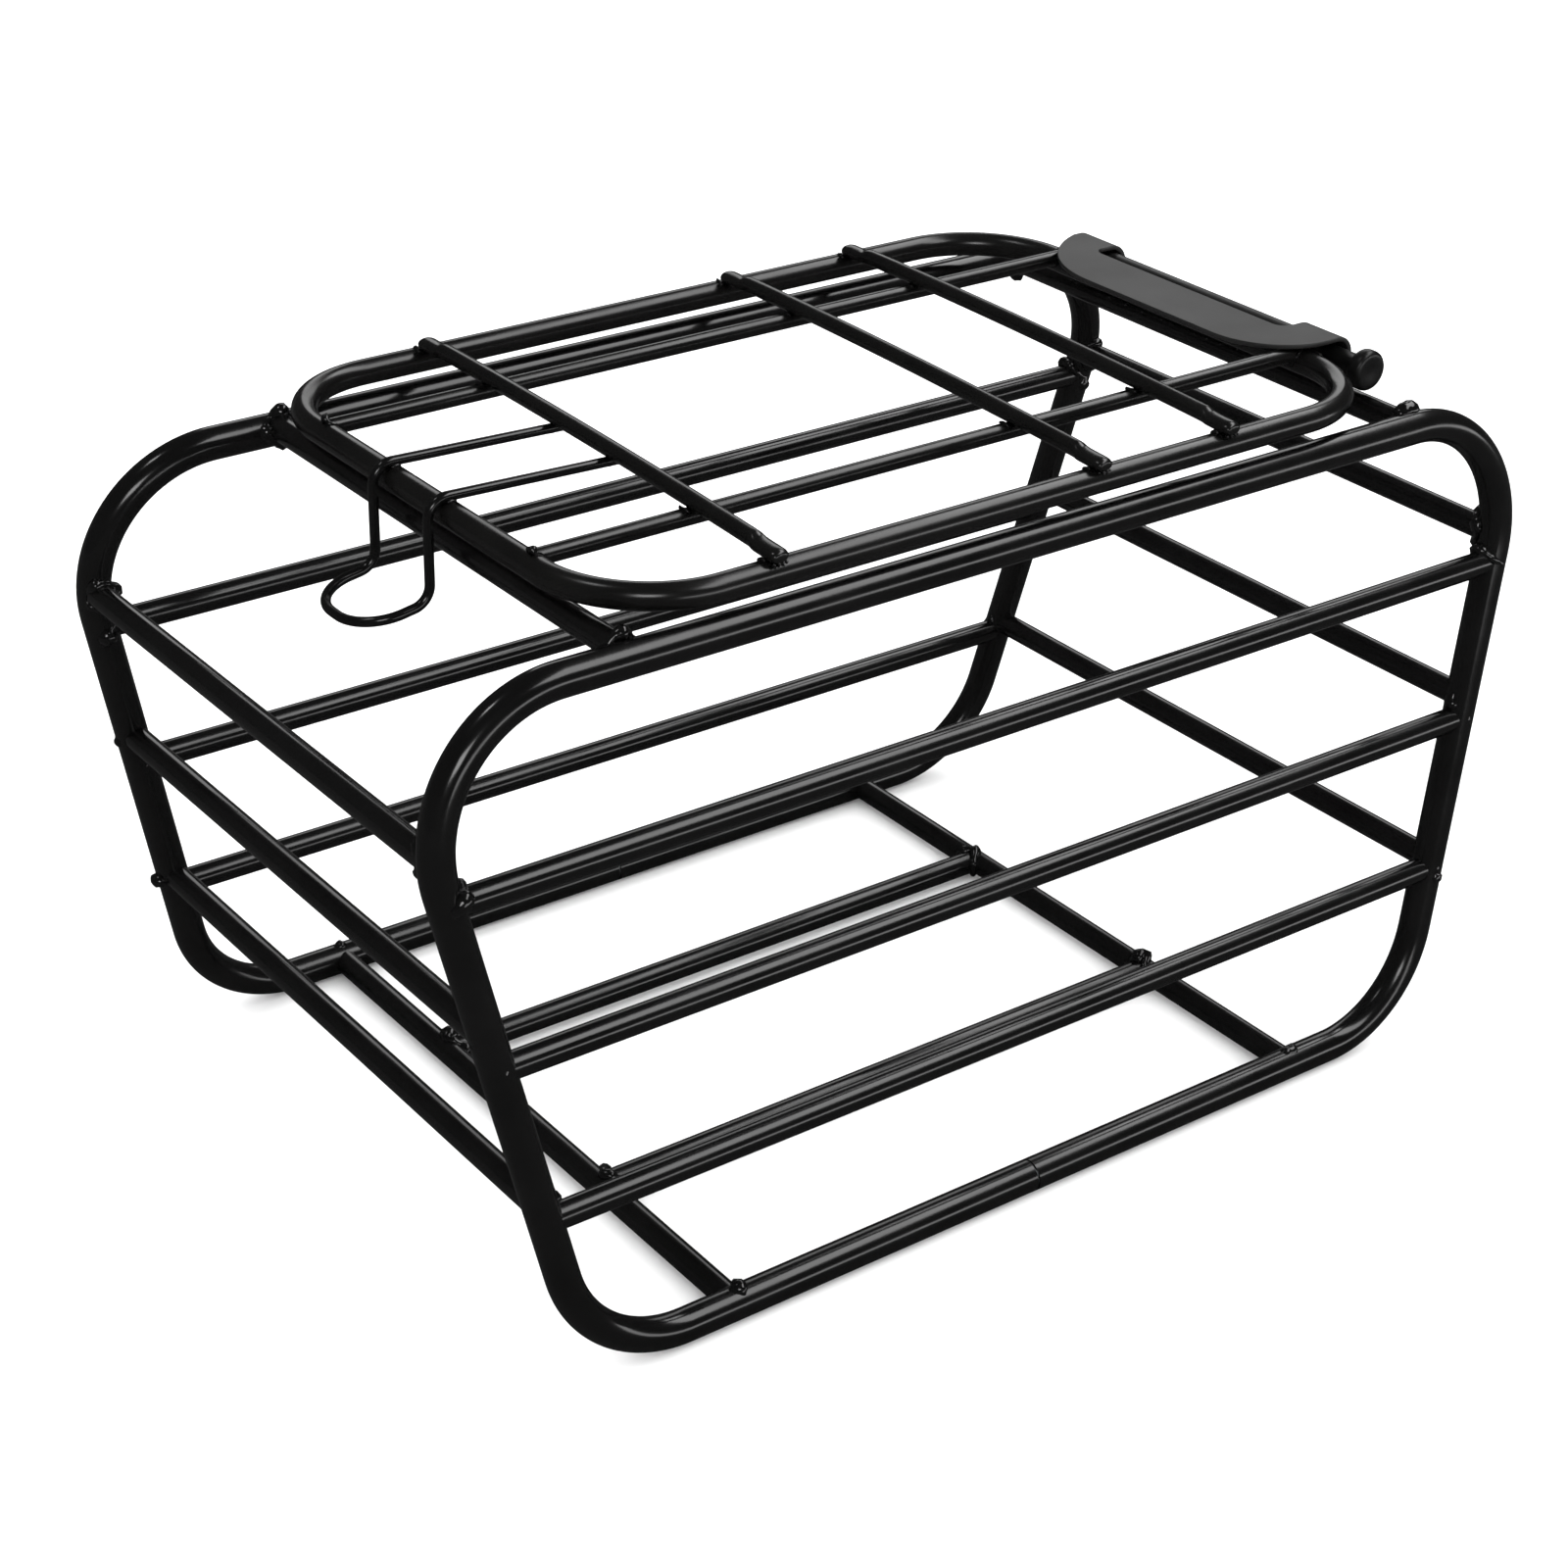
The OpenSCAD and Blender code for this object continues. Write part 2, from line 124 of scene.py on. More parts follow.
def add(tree, kind, inputs=None, **settings):
    """One node with its settings; an input given a socket is linked, any other is set."""
    made = tree.nodes.new(kind)
    for key, value in settings.items():
        setattr(made, key, value)
    for key, value in (inputs or {}).items():
        socket = made.inputs[key]
        if isinstance(value, bpy.types.NodeSocket):
            tree.links.new(value, socket)
        else:
            socket.default_value = value
    return made


def new_object(name, mesh):
    """An object of a mesh, in the scene and at the origin."""
    made = bpy.data.objects.new(name, mesh)
    bpy.context.scene.collection.objects.link(made)
    return made


def finish_piece(made, body, slot, *nodes, crease=40):
    """Turns a piece's modifiers into plain mesh, shades it, puts it under its body and hides the CAD nodes
    that it stands for.
    """
    name = made.name
    depsgraph = bpy.context.evaluated_depsgraph_get()
    plain = bpy.data.meshes.new_from_object(made.evaluated_get(depsgraph), depsgraph=depsgraph)
    made.modifiers.clear()
    old, made.data = made.data, plain
    bpy.data.meshes.remove(old)
    plain.name = name
    plain.polygons.foreach_set("use_smooth", [True] * len(plain.polygons))
    plain.set_sharp_from_angle(angle=math.radians(crease))
    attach(made, body)
    if nodes:
        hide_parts(*nodes)
    return made


def run_tree(made, tree, **values):
    """Puts a tree on an object, each value set by its socket's identifier."""
    modifier = made.modifiers.new(tree.name, "NODES")
    modifier.node_group = tree
    for item in tree.interface.items_tree:
        if item.item_type == "SOCKET" and item.in_out == "INPUT" and item.name in values:
            modifier[item.identifier] = values[item.name]


# ---------- materials ----------

def black_paint(name, base, roughness, roughness_swing, peel_mm, peel_height, specular=0.5):
    """Cured black coating on steel: one base colour, a slow change of gloss, and orange peel."""
    made = bpy.data.materials.new(name)
    made.use_nodes = True
    tree = made.node_tree
    tree.nodes.clear()
    place = add(tree, "ShaderNodeTexCoord").outputs["Object"]
    handled = add(tree, "ShaderNodeTexNoise", {"Vector": place, "Scale": 1 / (28 * MM), "Detail": 3.0,
                                               "Roughness": 0.6}).outputs["Fac"]
    gloss = add(tree, "ShaderNodeMapRange", {"Value": handled, "From Min": 0.3, "From Max": 0.7,
                                             "To Min": roughness - roughness_swing,
                                             "To Max": roughness + roughness_swing}).outputs["Result"]
    shade = add(tree, "ShaderNodeMapRange", {"Value": handled, "From Min": 0.3, "From Max": 0.75,
                                             "To Min": 0.0, "To Max": 1.0}).outputs["Result"]
    tone = add(tree, "ShaderNodeMix", {"Factor": shade, "A": linear(base[0]), "B": linear(base[1])},
               data_type="RGBA").outputs["Result"]
    peel = add(tree, "ShaderNodeTexNoise", {"Vector": place, "Scale": 1 / (peel_mm * MM), "Detail": 2.0,
                                            "Roughness": 0.45}).outputs["Fac"]
    skin = add(tree, "ShaderNodeBump", {"Height": peel, "Strength": 1.0,
                                        "Distance": peel_height * MM}).outputs["Normal"]
    paint = add(tree, "ShaderNodeBsdfPrincipled", {"Base Color": tone, "Roughness": gloss, "IOR": 1.5,
                                                   "Specular IOR Level": specular, "Normal": skin})
    add(tree, "ShaderNodeOutputMaterial", {"Surface": paint.outputs["BSDF"]})
    return made


def bare_zinc(name):
    """Bright zinc plate on steel: a pale metal, blue-grey, dulled by fine tumbling marks."""
    made = bpy.data.materials.new(name)
    made.use_nodes = True
    tree = made.node_tree
    tree.nodes.clear()
    place = add(tree, "ShaderNodeTexCoord").outputs["Object"]
    marks = add(tree, "ShaderNodeTexNoise", {"Vector": place, "Scale": 1 / (0.8 * MM),
                                             "Detail": 4.0}).outputs["Fac"]
    dull = add(tree, "ShaderNodeMapRange", {"Value": marks, "To Min": 0.28, "To Max": 0.5}).outputs["Result"]
    metal = add(tree, "ShaderNodeBsdfPrincipled", {"Base Color": linear("#9fa3a5"), "Metallic": 1.0,
                                                   "Roughness": dull})
    add(tree, "ShaderNodeOutputMaterial", {"Surface": metal.outputs["BSDF"]})
    return made


# Gloss black powder coat on drawn steel tube: deep black, sharp reflections, a faint orange peel
# with cells of about 2 mm that lets straight highlights waver.
frame_paint = black_paint("gloss black powder coat", ("#050505", "#090909"), 0.17, 0.04, 2.2, 0.010)
# The lid's tubes took a thicker coat from a second pass: a little duller, with a softer peel.
lid_paint = black_paint("semi-gloss black powder coat", ("#060606", "#0b0b0a"), 0.22, 0.05, 1.8, 0.010)
# Dipped black enamel on spring wire: thin and very smooth.
wire_paint = black_paint("gloss black enamel on wire", ("#050505", "#080808"), 0.14, 0.02, 3.0, 0.006)
# Satin black powder coat on pressed sheet: fine even grain, so the flat face reads dark grey.
sheet_paint = black_paint("satin black powder coat on sheet", ("#161616", "#1b1b1a"), 0.44, 0.03, 0.5, 0.006)
# Black oxide on a turned pin, oiled: matt, with the grain of the oxide.
pin_black = black_paint("black oxide on turned steel", ("#060606", "#0a0a0a"), 0.36, 0.05, 0.6, 0.006, 0.35)
# Weld beads under the powder coat: the coat runs thick and glossy over small ripples.
weld_paint = black_paint("powder coat over weld", ("#050505", "#0a0a0a"), 0.1, 0.04, 0.9, 0.05)
zinc = bare_zinc("bright zinc plate")


# ---------- Geometry Nodes trees ----------

def begin_tree(name, *inputs):
    """A new tree with its named inputs, given as (label, kind, starting value)."""
    tree = bpy.data.node_groups.new(name, "GeometryNodeTree")
    tree.interface.new_socket("Geometry", in_out="INPUT", socket_type="NodeSocketGeometry")
    for label, kind, value in inputs:
        made = tree.interface.new_socket(label, in_out="INPUT", socket_type="NodeSocket" + kind)
        if value is not None:
            made.default_value = value
    tree.interface.new_socket("Geometry", in_out="OUTPUT", socket_type="NodeSocketGeometry")
    return tree, add(tree, "NodeGroupInput").outputs


def end_tree(tree, geometry, material):
    """Makes a tree's result real and paints it."""
    real = add(tree, "GeometryNodeRealizeInstances", {"Geometry": geometry}).outputs["Geometry"]
    painted = add(tree, "GeometryNodeSetMaterial", {"Geometry": real, "Material": material})
    add(tree, "NodeGroupOutput", {"Geometry": painted.outputs["Geometry"]})
    return tree


def bent_tube_tree():
    """A round tube swept along the object's edges, its ends closed."""
    tree, given = begin_tree("bent tube", ("Radius", "Float", 0.005), ("Sides", "Int", 48),
                             ("Material", "Material", None))
    path = add(tree, "GeometryNodeMeshToCurve", {"Mesh": given["Geometry"]}).outputs["Curve"]
    ring = add(tree, "GeometryNodeCurvePrimitiveCircle", {"Radius": given["Radius"],
                                                          "Resolution": given["Sides"]}).outputs["Curve"]
    skin = add(tree, "GeometryNodeCurveToMesh", {"Curve": path, "Profile Curve": ring, "Fill Caps": True})
    return end_tree(tree, skin.outputs["Mesh"], given["Material"])


def weld_bead_tree():
    """A thin uneven bead swept along each loop, as thick as the loop's own bead size, then rippled."""
    tree, given = begin_tree("weld bead", ("Sides", "Int", 8), ("Ripple", "Float", 0.0004),
                             ("Ripple Length", "Float", 0.0016), ("Material", "Material", None))
    path = add(tree, "GeometryNodeMeshToCurve", {"Mesh": given["Geometry"]}).outputs["Curve"]
    size = add(tree, "GeometryNodeInputNamedAttribute", {"Name": "bead"},
               data_type="FLOAT").outputs["Attribute"]
    sized = add(tree, "GeometryNodeSetCurveRadius", {"Curve": path, "Radius": size}).outputs["Curve"]
    ring = add(tree, "GeometryNodeCurvePrimitiveCircle", {"Radius": 1.0,
                                                          "Resolution": given["Sides"]}).outputs["Curve"]
    sweep = add(tree, "GeometryNodeCurveToMesh", {"Curve": sized, "Profile Curve": ring, "Fill Caps": True})
    if "Scale" in sweep.inputs:
        tree.links.new(add(tree, "GeometryNodeInputRadius").outputs["Radius"], sweep.inputs["Scale"])
    fine = add(tree, "ShaderNodeMath", {0: 1.0, 1: given["Ripple Length"]},
               operation="DIVIDE").outputs["Value"]
    noise = add(tree, "ShaderNodeTexNoise", {"Scale": fine, "Detail": 1.0}).outputs["Fac"]
    centred = add(tree, "ShaderNodeMath", {0: noise, 1: 0.5}, operation="SUBTRACT").outputs["Value"]
    height = add(tree, "ShaderNodeMath", {0: centred, 1: given["Ripple"]},
                 operation="MULTIPLY").outputs["Value"]
    double = add(tree, "ShaderNodeMath", {0: height, 1: 2.0}, operation="MULTIPLY").outputs["Value"]
    push = add(tree, "ShaderNodeVectorMath", {0: add(tree, "GeometryNodeInputNormal").outputs["Normal"],
                                              "Scale": double}, operation="SCALE").outputs["Vector"]
    rippled = add(tree, "GeometryNodeSetPosition", {"Geometry": sweep.outputs["Mesh"], "Offset": push})
    return end_tree(tree, rippled.outputs["Geometry"], given["Material"])


def spatter_tree():
    """A small round drop of weld or paint on each point, as large as the point's own drop size."""
    tree, given = begin_tree("spatter", ("Material", "Material", None))
    drop = add(tree, "GeometryNodeMeshIcoSphere", {"Radius": 1.0, "Subdivisions": 3}).outputs["Mesh"]
    size = add(tree, "GeometryNodeInputNamedAttribute", {"Name": "drop"},
               data_type="FLOAT").outputs["Attribute"]
    placed = add(tree, "GeometryNodeInstanceOnPoints", {"Points": given["Geometry"], "Instance": drop,
                                                        "Scale": size})
    return end_tree(tree, placed.outputs["Instances"], given["Material"])


BENT_TUBE, WELD_BEAD, SPATTER = bent_tube_tree(), weld_bead_tree(), spatter_tree()


# ---------- tube paths ----------

def rounded(corners, radii, step=3.0):
    """Points along a path whose corners are bent to the given radii."""
    points = [Vector(corners[0])]
    for before, corner, after, radius in zip(corners, corners[1:], corners[2:], radii):
        corner = Vector(corner)
        back, ahead = (Vector(before) - corner).normalized(), (Vector(after) - corner).normalized()
        inward = (ahead - ahead.dot(back) * back).normalized()
        turn = math.pi - back.angle(ahead)
        centre = corner + back * radius * math.tan(turn / 2) + inward * radius
        count = max(4, round(math.degrees(turn) / step))
        for k in range(count + 1):
            a = turn * k / count
            points.append(centre + radius * (-inward * math.cos(a) - back * math.sin(a)))
    points.append(Vector(corners[-1]))
    return points


def tube(name, points, radius, paint, body, slot, node, sides=48, closed=False):
    """A piece swept along a path, standing for a CAD node."""
    mesh = bpy.data.meshes.new(name)
    edges = [(k, k + 1) for k in range(len(points) - 1)] + ([(len(points) - 1, 0)] if closed else [])
    mesh.from_pydata([p * MM for p in points], edges, [])
    made = new_object(name, mesh)
    run_tree(made, BENT_TUBE, Radius=radius * MM, Sides=sides, Material=paint)
    return finish_piece(made, body, slot, node)


def on_frame(u, h, side=-1):
    """A point of a side frame's leaning plane: u along the basket, h up the slope."""
    return Vector((u, side * (BOTTOM_Y - h * LEAN_IN / SLANT), FLOOR_Z + h * RISE / SLANT))


def leg_x(h):
    """How far out the leg's centre is at height h up the slope."""
    tangent = BEND_R * math.tan((math.pi - LEG) / 2)
    if h < SLANT - BEND_R - BEND_R * math.cos(LEG):
        return BOTTOM_X + h / math.tan(LEG)
    return TOP_X - tangent + math.sqrt(BEND_R ** 2 - (h - SLANT + BEND_R) ** 2)


def frame_path(side):
    """The centreline of one side frame, from one side of its seam round to the other."""
    corners = [(SEAM / 2, 0), (BOTTOM_X, 0), (TOP_X, SLANT), (-TOP_X, SLANT), (-BOTTOM_X, 0), (-SEAM / 2, 0)]
    return rounded([on_frame(u, h, side) for u, h in corners], [BEND_R] * 4)


# ---------- weld beads ----------

bead_loops = {"basket": [], "lid": []}       # closed or open runs of (point, bead size)
drops = {"basket": [], "lid": []}            # single drops of (point, drop size)


def distance_to(path, point):
    """Distance from a point to a path, and the nearest point of the path."""
    best = None
    for a, b in zip(path, path[1:]):
        near, t = intersect_point_line(point, a, b)
        near = a if t < 0 else b if t > 1 else near
        d = (point - near).length
        if best is None or d < best[0]:
            best = (d, near)
    return best


def bead_room(point):
    """How thick a bead may be at a point: it's dressed flush with the outermost tubes and the floor."""
    wall = [abs(v) / MM for v in cad_box[1]]
    return min(wall[0] - abs(point.x), wall[1] - abs(point.y), point.z) - 0.9


def weld_round(body, start, along, rod_r, host, host_r, size=BEAD, tacks=3):
    """A bead where a rod leaves its host tube: thin all round and heaped where the torch dwelt."""
    near = [p for p in host if (p - start).length < 60] if len(host) > 2 else host
    if len(near) < 2:
        nearest = min(range(len(host) - 1), key=lambda k: distance_to(host[k:k + 2], start)[0])
        near = host[max(0, nearest - 1):nearest + 3]
    along = along.normalized()
    e1 = along.cross(Vector((0, 0, 1)) if abs(along.z) < 0.9 else Vector((1, 0, 0))).normalized()
    e2 = along.cross(e1)
    heaps = [(chance.uniform(0, math.tau), chance.uniform(0.35, 0.8)) for _ in range(tacks)]
    heaps += [(math.pi / 2 + chance.uniform(-0.4, 0.4), 0.7), (-math.pi / 2 + chance.uniform(-0.4, 0.4), 0.5)]
    loop = []
    for k in range(BEAD_STEPS):
        a = math.tau * k / BEAD_STEPS
        out = e1 * math.cos(a) + e2 * math.sin(a)
        low, high = 0.0, host_r * 2.5
        for _ in range(16):
            mid = (low + high) / 2
            if distance_to(near, start + out * rod_r + along * mid)[0] < host_r:
                low = mid
            else:
                high = mid
        seat = start + out * rod_r + along * high
        host_out = (seat - distance_to(near, seat)[1]).normalized()
        heap = sum(w * math.exp(-((a - c + math.pi) % math.tau - math.pi) ** 2 / 0.12) for c, w in heaps)
        bead = size * (0.55 + heap + chance.uniform(-0.08, 0.08))
        bead = min(bead, max(bead_room(seat), 0.3))
        loop.append((seat + (out + host_out).normalized() * (bead * 0.15), min(bead, size * 1.5)))
        if heap > 0.55 and chance.random() < 0.16:
            drop = seat + (out + host_out).normalized() * bead * 0.8 + along * chance.uniform(-0.6, 1.2)
            drops[body].append((drop, min(chance.uniform(0.4, 0.75), max(bead_room(drop), 0.1))))
    bead_loops[body].append((loop, True))


def build_welds(body, slot):
    """All of one body's beads and drops, as one piece each."""
    places, edges, sizes = [], [], []
    for loop, closed in bead_loops[body]:
        first = len(places)
        places += [p * MM for p, _ in loop]
        sizes += [s * MM for _, s in loop]
        edges += [(first + k, first + k + 1) for k in range(len(loop) - 1)]
        if closed:
            edges.append((len(places) - 1, first))
    mesh = bpy.data.meshes.new(body + "_weld_beads")
    mesh.from_pydata(places, edges, [])
    mesh.attributes.new("bead", "FLOAT", "POINT").data.foreach_set("value", sizes)
    made = new_object(body + "_weld_beads", mesh)
    run_tree(made, WELD_BEAD, Sides=10, Ripple=0.45 * MM, Material=weld_paint, **{"Ripple Length": 1.5 * MM})
    finish_piece(made, body, slot, crease=180)
    mesh = bpy.data.meshes.new(body + "_spatter")
    mesh.from_pydata([p * MM for p, _ in drops[body]], [], [])
    mesh.attributes.new("drop", "FLOAT", "POINT").data.foreach_set("value", [s * MM for _, s in drops[body]])
    made = new_object(body + "_spatter", mesh)
    run_tree(made, SPATTER, Material=weld_paint)
    finish_piece(made, body, slot, crease=180)


# ---------- basket ----------

paths = {"near": frame_path(-1), "far": frame_path(1)}
for side_name, path in paths.items():
    tube(side_name + "_side_frame_tube", path, TUBE_R, frame_paint, "basket", "gloss_black_tube",
         side_name + "_side_frame")


def straight(name, a, b, radius, paint, body, slot, sides=40):
    """A straight tube between two points, named for the node that it stands for."""
    return tube(name + "_tube", [a, b], radius, paint, body, slot, name, sides)


for side_name, side in (("near", -1), ("far", 1)):
    for level, z in zip(("low", "mid", "high"), SIDE_LEVELS):
        h = z * SLANT / RISE
        a, b = on_frame(-leg_x(h), h, side), on_frame(leg_x(h), h, side)
        straight(f"{side_name}_rod_{level}", a, b, ROD_R, frame_paint, "basket", "gloss_black_tube")
        weld_round("basket", a, b - a, ROD_R, paths[side_name], TUBE_R)
        weld_round("basket", b, a - b, ROD_R, paths[side_name], TUBE_R)


def across(name, x, h):
    """A tube from the near frame to the far one, welded at both ends."""
    a, b = on_frame(x, h, -1), on_frame(x, h, 1)
    straight(name, a, b, ROD_R, frame_paint, "basket", "gloss_black_tube")
    weld_round("basket", a, b - a, ROD_R, paths["near"], TUBE_R)
    weld_round("basket", b, a - b, ROD_R, paths["far"], TUBE_R)


for end_name, end, heights in (("latch", -1, LATCH_END_LEVELS), ("hinge", 1, HINGE_END_LEVELS)):
    for level, z in zip(("low", "mid", "high"), heights):
        h = z * SLANT / RISE
        across(f"{end_name}_end_rod_{level}", end * leg_x(h), h)
    across(f"bottom_cross_{end_name}", end * BOTTOM_CROSS_X, 0)

for side_name, y in (("near", -BOTTOM_ROD_Y), ("far", BOTTOM_ROD_Y)):
    ends = [Vector((s * BOTTOM_CROSS_X, y, FLOOR_Z)) for s in (-1, 1)]
    straight(f"bottom_rod_{side_name}", *ends, ROD_R, frame_paint, "basket", "gloss_black_tube")
    for k, p in enumerate(ends):
        host = [p + Vector((0, -20, 0)), p + Vector((0, 20, 0))]
        weld_round("basket", p, ends[1 - k] - p, ROD_R, host, ROD_R)

for name, x, z in (("rim_cross_latch", RIM_LATCH_X, RIM_LATCH_Z), ("rim_cross_hinge", HINGE_X, RIM_HINGE_Z)):
    ends = [Vector((x, s * RIM_HALF, z)) for s in (-1, 1)]
    straight(name, *ends, ROD_R, frame_paint, "basket", "gloss_black_tube")
    for k, side_name in enumerate(("near", "far")):
        weld_round("basket", ends[k], ends[1 - k] - ends[k], ROD_R, paths[side_name], TUBE_R, RIM_BEAD)


# ---------- hinge, basket side ----------

def lathe(name, profile, centre, paint, body, slot, *nodes, sides=56):
    """A turned piece about Y, from (distance along Y, radius) pairs in order, closed at both ends."""
    mesh = bpy.data.meshes.new(name)
    shape = bmesh.new()
    rings = []
    for y, r in profile:
        if r < 1e-6:
            rings.append([shape.verts.new((centre + Vector((0, y, 0))) * MM)])
        else:
            rings.append([shape.verts.new((centre + Vector((r * math.sin(math.tau * k / sides), y,
                                                            r * math.cos(math.tau * k / sides)))) * MM)
                          for k in range(sides)])
    for low, high in zip(rings, rings[1:]):
        for k in range(sides):
            n = k + 1
            corners = [low[k % len(low)], low[n % len(low)], high[n % len(high)], high[k % len(high)]]
            shape.faces.new(list(dict.fromkeys(corners)))
    bmesh.ops.recalc_face_normals(shape, faces=shape.faces)
    shape.to_mesh(mesh)
    shape.free()
    mesh.materials.append(paint)
    return finish_piece(new_object(name, mesh), body, slot, *nodes, crease=32)


axle = Vector((HINGE_X, 0, LID_Z))
head_y = -(EAR_END + NECK)
clip_in, clip_out = EAR_END + PLAY, EAR_END + PLAY + CLIP_T
tip_y = clip_out + 2
pin_profile = [(tip_y, 0), (tip_y, PIN_R - 0.7), (tip_y - 0.7, PIN_R), (clip_out, PIN_R),
               (clip_out, PIN_R - GROOVE), (clip_in, PIN_R - GROOVE), (clip_in, PIN_R),
               (head_y + 1.5, PIN_R), (head_y + 1.1, PIN_R + 0.25), (head_y + 0.6, PIN_R + 1.2),
               (head_y + 0.3, 5.3), (head_y, 5.75), (head_y - 0.5, 6.1), (head_y - 1.2, 6.25),
               (head_y - 3.0, 6.25), (head_y - 3.7, 6.08), (head_y - 4.25, 5.65), (head_y - 4.5, 5.1),
               (head_y - 4.56, 4.4), (head_y - 4.45, 2.6), (head_y - 4.3, 1.2), (head_y - 4.25, 0)]
lathe("hinge_pin_turned", pin_profile, axle, pin_black, "basket", "matt_black_pin", "hinge_pin")

sleeve_half = EAR_IN - PLAY
sleeve_profile = [(-sleeve_half, PIN_R), (-sleeve_half, SLEEVE_R - 0.2), (-sleeve_half + 0.2, SLEEVE_R),
                  (sleeve_half - 0.2, SLEEVE_R), (sleeve_half, SLEEVE_R - 0.2), (sleeve_half, PIN_R)]
sleeve_profile.append(sleeve_profile[0])
lathe("hinge_sleeve_tube", sleeve_profile, axle, pin_black, "basket", "satin_black_sheet", "hinge_sleeve")
for s in (-1, 1):
    run = [(Vector((HINGE_X + s * 2.2, y, LID_Z - SLEEVE_R * 0.85 - 0.3 + chance.uniform(-0.15, 0.15))),
            1.15 + chance.uniform(-0.15, 0.2)) for y in range(-40, 41, 2)]
    bead_loops["basket"].append((run, False))


# ---------- lid ----------

lid_corners = [Vector((LID_HINGE_X, 0, LID_Z)), Vector((LID_HINGE_X, -LID_Y, LID_Z)),
               Vector((LID_LATCH_X, -LID_Y, LID_Z)), Vector((LID_LATCH_X, LID_Y, LID_Z)),
               Vector((LID_HINGE_X, LID_Y, LID_Z)), Vector((LID_HINGE_X, 0, LID_Z))]
lid_path = rounded(lid_corners, [LID_CORNER] * 4)
tube("lid_loop_tube", lid_path[:-1], LID_R, lid_paint, "lid", "satin_black_tube", "lid_loop", closed=True)

for side_name, y in (("near", -LID_ROD_Y), ("far", LID_ROD_Y)):
    ends = [Vector((LID_LATCH_X, y, LID_ROD_Z)), Vector((LID_HINGE_X, y, LID_ROD_Z))]
    straight(f"lid_rod_{side_name}", *ends, LID_ROD_R, lid_paint, "lid", "satin_black_tube", sides=32)
    for k, p in enumerate(ends):
        host = [Vector((p.x, y - 20, LID_Z)), Vector((p.x, y + 20, LID_Z))]
        weld_round("lid", p, ends[1 - k] - p, LID_ROD_R, host, LID_R, LID_BEAD, tacks=1)


def flat_ended_rod(name, x, node):
    """A cross rod whose ends were pressed a little flat where they lie on the loop."""
    mesh = bpy.data.meshes.new(name)
    shape = bmesh.new()
    half, radius = CROSS_HALF, LID_ROD_R
    sides, rings = 32, []
    pressed = 11.0                     # length of the pressed end
    stations = [-half + v for v in (0, 0.15, 0.5, 1.0, 1.7, 2.6, 4, 6, 8, 9.5, 10.4, 11, 11.6, 12.4, 14)]
    stations += [-v for v in reversed(stations)]
    stations = stations[:15] + [-half + 14 + (2 * half - 28) * k / 24 for k in range(1, 24)] + stations[15:]
    for y in stations:
        t = half - abs(y)              # distance from the end
        lean = Vector((CROSS_SKEW * y / half, -CROSS_OFF, CROWN * (1 - (y / half) ** 2)))
        flat = 1 / (1 + math.exp((t - pressed) * 2.2))
        tip = math.sqrt(max(0.0, 1 - max(0.0, 1 - t / 2.6) ** 2)) if t < 2.6 else 1.0
        wide = radius * (1 + 0.24 * flat) * (0.55 + 0.45 * tip)
        thick = radius * (1 - 0.20 * flat) * (0.45 + 0.55 * tip)
        drop = -radius * 0.20 * flat
        centre = lean + Vector((x, y, LID_CROSS_Z + drop))
        rings.append([shape.verts.new((centre + Vector((wide * math.sin(math.tau * k / sides), 0,
                                                        thick * math.cos(math.tau * k / sides)))) * MM)
                      for k in range(sides)])
    for low, high in zip(rings, rings[1:]):
        for k in range(sides):
            n = (k + 1) % sides
            shape.faces.new([low[k], low[n], high[n], high[k]])
    shape.faces.new(rings[0])
    shape.faces.new(rings[-1])
    bmesh.ops.recalc_face_normals(shape, faces=shape.faces)
    shape.to_mesh(mesh)
    shape.free()
    mesh.materials.append(lid_paint)
    return finish_piece(new_object(name, mesh), "lid", "satin_black_tube", node, crease=50)


for place, x in LID_CROSS_X.items():
    flat_ended_rod(f"lid_cross_{place}_rod", x, f"lid_cross_{place}")
    for s in (-1, 1):
        end_x, tip = x + s * CROSS_SKEW, s * CROSS_HALF - CROSS_OFF
        for k in range(4):             # tacks along the rod's end, between it and the loop
            off = k - 1.5
            tack = Vector((end_x + off * 1.3, tip - s * (0.2 + 0.3 * abs(off)),
                           LID_CROSS_Z - 2.1 - 0.12 * abs(off)))
            drops["lid"].append((tack, chance.uniform(0.35, 0.55)))
        for side in (-1, 1):
            run = [(Vector((end_x + side * 2.55, s * (LID_Y + v), LID_CROSS_Z - 2.0 - 0.11 * v * v)),
                    0.55 + chance.uniform(-0.1, 0.2)) for v in (-2.6, -1.6, -0.6, 0.2)]
            bead_loops["lid"].append((run, False))
        for y in (-LID_ROD_Y, LID_ROD_Y):   # where the long rods are held under the cross rods
            run = [(Vector((x + CROSS_SKEW * y / CROSS_HALF + s * (2.2 + 0.12 * v * v), y + v,
                            LID_ROD_Z + LID_ROD_R - 0.2)), 0.5) for v in (-2, -1, 0, 1, 2)]
            bead_loops["lid"].append((run, False))


# ---------- hinge bracket ----------

